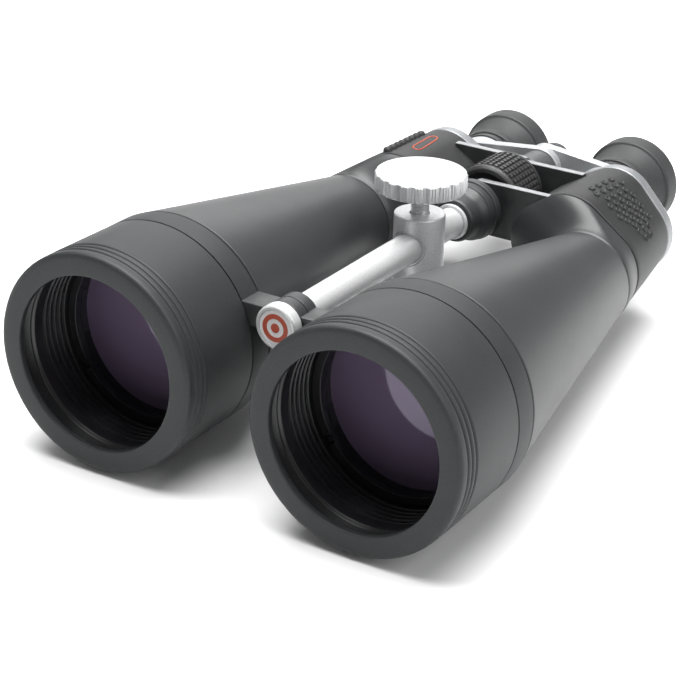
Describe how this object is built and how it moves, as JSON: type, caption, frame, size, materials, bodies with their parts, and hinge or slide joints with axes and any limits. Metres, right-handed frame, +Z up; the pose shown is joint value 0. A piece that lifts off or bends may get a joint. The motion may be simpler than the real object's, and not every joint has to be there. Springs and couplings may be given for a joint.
{
  "type": "astronomy binoculars",
  "caption": "Large porro-prism binoculars with long cone barrels, dew shields, folding bridge, focusing wheel, rubber eyecups and a tripod post that slides along a rod",
  "frame": {"origin": "centre of the bounding box in X and Y, on the surface that the binoculars stand on", "axes": "+X towards the right barrel as seen by someone looking through, +Y from the objectives towards the eyepieces, +Z up; the optical axes dip 2.7 degrees towards the eyepieces because the binoculars stand on the two bridge rings and the foot of the tripod post"},
  "size_m": [0.2382, 0.3362, 0.1062],
  "materials": {
    "shield_coating": "dark charcoal, fine matt coating",
    "painted_alloy": "charcoal black satin paint on cast alloy",
    "inner_black": "flat black anodised",
    "coated_glass": "polished, purple anti-reflection coating",
    "clear_glass": "polished clear",
    "armour_rubber": "charcoal rubber with raised ring dots",
    "eyecup_rubber": "dark grey soft rubber",
    "wheel_rubber": "black ribbed rubber",
    "grey_alloy": "light grey satin alloy",
    "dark_steel": "dark machined",
    "bright_rod": "turned bright",
    "bright_steel": "ground bright",
    "bright_knob": "bright anodised with a milled edge",
    "satin_alloy": "satin bead-blasted",
    "badge_paint": "orange-red enamel"
  },
  "bodies": {
    "centre": {"tripod_rod": "bright_rod", "rod_end_cap": "bright_rod", "rod_badge": "badge_paint", "rod_ring": "bright_rod", "hinge_collar": "painted_alloy", "hinge_axle": "dark_steel"},
    "left_half": {"left_dew_shield": "shield_coating", "left_bridge_arm": "painted_alloy", "left_barrel_tube": "painted_alloy", "left_retaining_ring": "inner_black", "left_objective_cell": "inner_black", "left_crown_lens": "coated_glass", "left_flint_lens": "clear_glass", "left_prism_housing": "painted_alloy", "left_rubber_armour": "armour_rubber", "left_prism_shelf": "dark_steel", "left_objective_prism": "clear_glass", "left_eyepiece_prism": "clear_glass", "left_rear_cover": "grey_alloy", "left_guide_bush": "dark_steel"},
    "right_half": {"right_dew_shield": "shield_coating", "right_bridge_arm": "painted_alloy", "right_barrel_tube": "painted_alloy", "right_retaining_ring": "inner_black", "right_objective_cell": "inner_black", "right_crown_lens": "coated_glass", "right_flint_lens": "clear_glass", "right_prism_housing": "painted_alloy", "right_rubber_armour": "armour_rubber", "right_prism_shelf": "dark_steel", "right_objective_prism": "clear_glass", "right_eyepiece_prism": "clear_glass", "right_rear_cover": "grey_alloy", "right_guide_bush": "dark_steel"},
    "focus_wheel_body": {"focus_wheel": "wheel_rubber"},
    "focus_carrier": {"focus_shaft": "bright_steel", "focus_hub": "grey_alloy", "shaft_end_cap": "painted_alloy"},
    "left_eyepiece": {"left_eyepiece_arm": "grey_alloy", "left_eyepiece_tube": "painted_alloy", "left_eyepiece_collar": "painted_alloy", "left_field_lens": "clear_glass", "left_eye_lens": "clear_glass", "left_eyecup": "eyecup_rubber"},
    "right_eyepiece": {"right_eyepiece_arm": "grey_alloy"},
    "dioptre": {"right_eyepiece_tube": "painted_alloy", "dioptre_ring": "painted_alloy", "right_field_lens": "clear_glass", "right_eye_lens": "clear_glass", "right_eyecup": "eyecup_rubber"},
    "post_slider": {"post_bush": "inner_black"},
    "post": {"tripod_post": "satin_alloy"},
    "clamp_lift": {"clamp_pad": "dark_steel"},
    "knob": {"clamp_knob": "bright_knob"}
  },
  "joints": [
    {"name": "right_fold", "type": "hinge", "parent": "centre", "child": "right_half", "pos_m": [0, -0.0151, 0.06676], "axis": [0, 0.999, -0.0446], "range_deg": [0, 22]},
    {"name": "left_fold", "type": "hinge", "parent": "centre", "child": "left_half", "pos_m": [0, -0.0151, 0.06676], "axis": [0, -0.999, 0.0446], "range_deg": [0, 22]},
    {"name": "focus_turn", "type": "hinge", "parent": "centre", "child": "focus_wheel_body", "pos_m": [0, 0.0828, 0.0624], "axis": [0, 0.999, -0.0446], "range_deg": [-90, 315]},
    {"name": "focus_slide", "type": "slide", "parent": "centre", "child": "focus_carrier", "axis": [0, 0.999, -0.0446], "range_m": [-0.002, 0.007]},
    {"name": "left_eyepiece_slide", "type": "slide", "parent": "left_half", "child": "left_eyepiece", "axis": [0, 0.999, -0.0446], "range_m": [-0.002, 0.007]},
    {"name": "right_eyepiece_slide", "type": "slide", "parent": "right_half", "child": "right_eyepiece", "axis": [0, 0.999, -0.0446], "range_m": [-0.002, 0.007]},
    {"name": "dioptre_turn", "type": "hinge", "parent": "right_eyepiece", "child": "dioptre", "pos_m": [0.037, 0.14427, 0.04906], "axis": [0, 0.999, -0.0446], "range_deg": [-60, 60]},
    {"name": "post_slide", "type": "slide", "parent": "centre", "child": "post_slider", "axis": [0, 0.999, -0.0446], "range_m": [-0.02, 0.014]},
    {"name": "post_swing", "type": "hinge", "parent": "post_slider", "child": "post", "pos_m": [0, 0.00228, 0.06599], "axis": [0, 0.999, -0.0446], "range_deg": [-4, 4]},
    {"name": "clamp_rise", "type": "slide", "parent": "post", "child": "clamp_lift", "axis": [0, 0.0446, 0.999], "range_m": [0, 0.00225]},
    {"name": "knob_turn", "type": "hinge", "parent": "clamp_lift", "child": "knob", "pos_m": [0, 0.00365, 0.09676], "axis": [0, 0.0446, 0.999], "range_deg": [0, 540]}
  ],
  "couplings": [
    {"joint": "left_fold", "follows": "right_fold", "ratio": 1},
    {"joint": "focus_turn", "follows": "focus_slide", "rad_per_m": 785.4},
    {"joint": "left_eyepiece_slide", "follows": "focus_slide", "ratio": 1},
    {"joint": "right_eyepiece_slide", "follows": "focus_slide", "ratio": 1},
    {"joint": "knob_turn", "follows": "clamp_rise", "rad_per_m": 4188.8}
  ]
}
